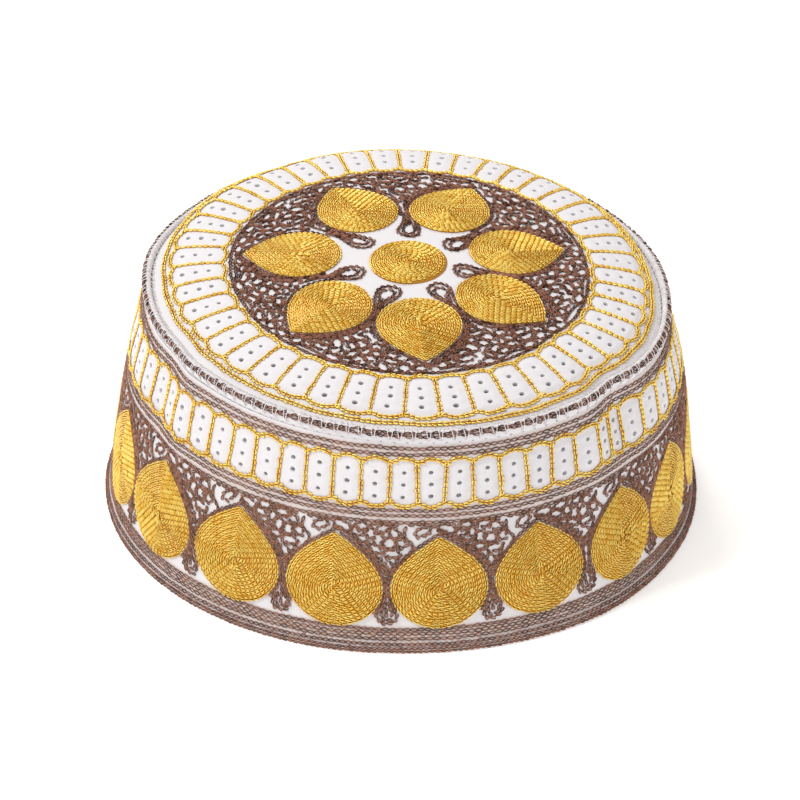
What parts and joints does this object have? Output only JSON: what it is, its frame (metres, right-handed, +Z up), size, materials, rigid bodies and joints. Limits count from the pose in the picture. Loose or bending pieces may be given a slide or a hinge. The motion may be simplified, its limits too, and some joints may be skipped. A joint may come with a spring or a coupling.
{
  "type": "embroidered prayer cap",
  "caption": "Round flat-topped prayer cap with a tall flaring side band, white cotton covered in gold petals and brown scroll embroidery.",
  "frame": {"origin": "The middle of the box of the cap's lower edge, on the surface that it stands on.", "axes": "+Z up through the crown, -Y towards the front of the cap as pictured, +X to the viewer's right."},
  "size_m": [0.1923, 0.1876, 0.0866],
  "materials": {
    "white_cotton": "matt woven cotton",
    "gold_thread": "silky chain stitch",
    "brown_thread": "satin chain stitch"
  },
  "bodies": {
    "root": {"crown": "white_cotton", "side_band": "white_cotton", "crown_seam": "white_cotton", "hem": "brown_thread", "centre_disc": "gold_thread", "crown_petal_1": "gold_thread", "crown_petal_2": "gold_thread", "crown_petal_3": "gold_thread", "crown_petal_4": "gold_thread", "crown_petal_5": "gold_thread", "crown_petal_6": "gold_thread", "crown_petal_7": "gold_thread", "side_petal_01": "gold_thread", "side_petal_02": "gold_thread", "side_petal_03": "gold_thread", "side_petal_04": "gold_thread", "side_petal_05": "gold_thread", "side_petal_06": "gold_thread", "side_petal_07": "gold_thread", "side_petal_08": "gold_thread", "side_petal_09": "gold_thread", "side_petal_10": "gold_thread", "side_petal_11": "gold_thread", "side_petal_12": "gold_thread", "side_petal_13": "gold_thread", "side_petal_14": "gold_thread", "side_petal_15": "gold_thread", "side_petal_16": "gold_thread", "side_petal_17": "gold_thread"}
  },
  "joints": []
}
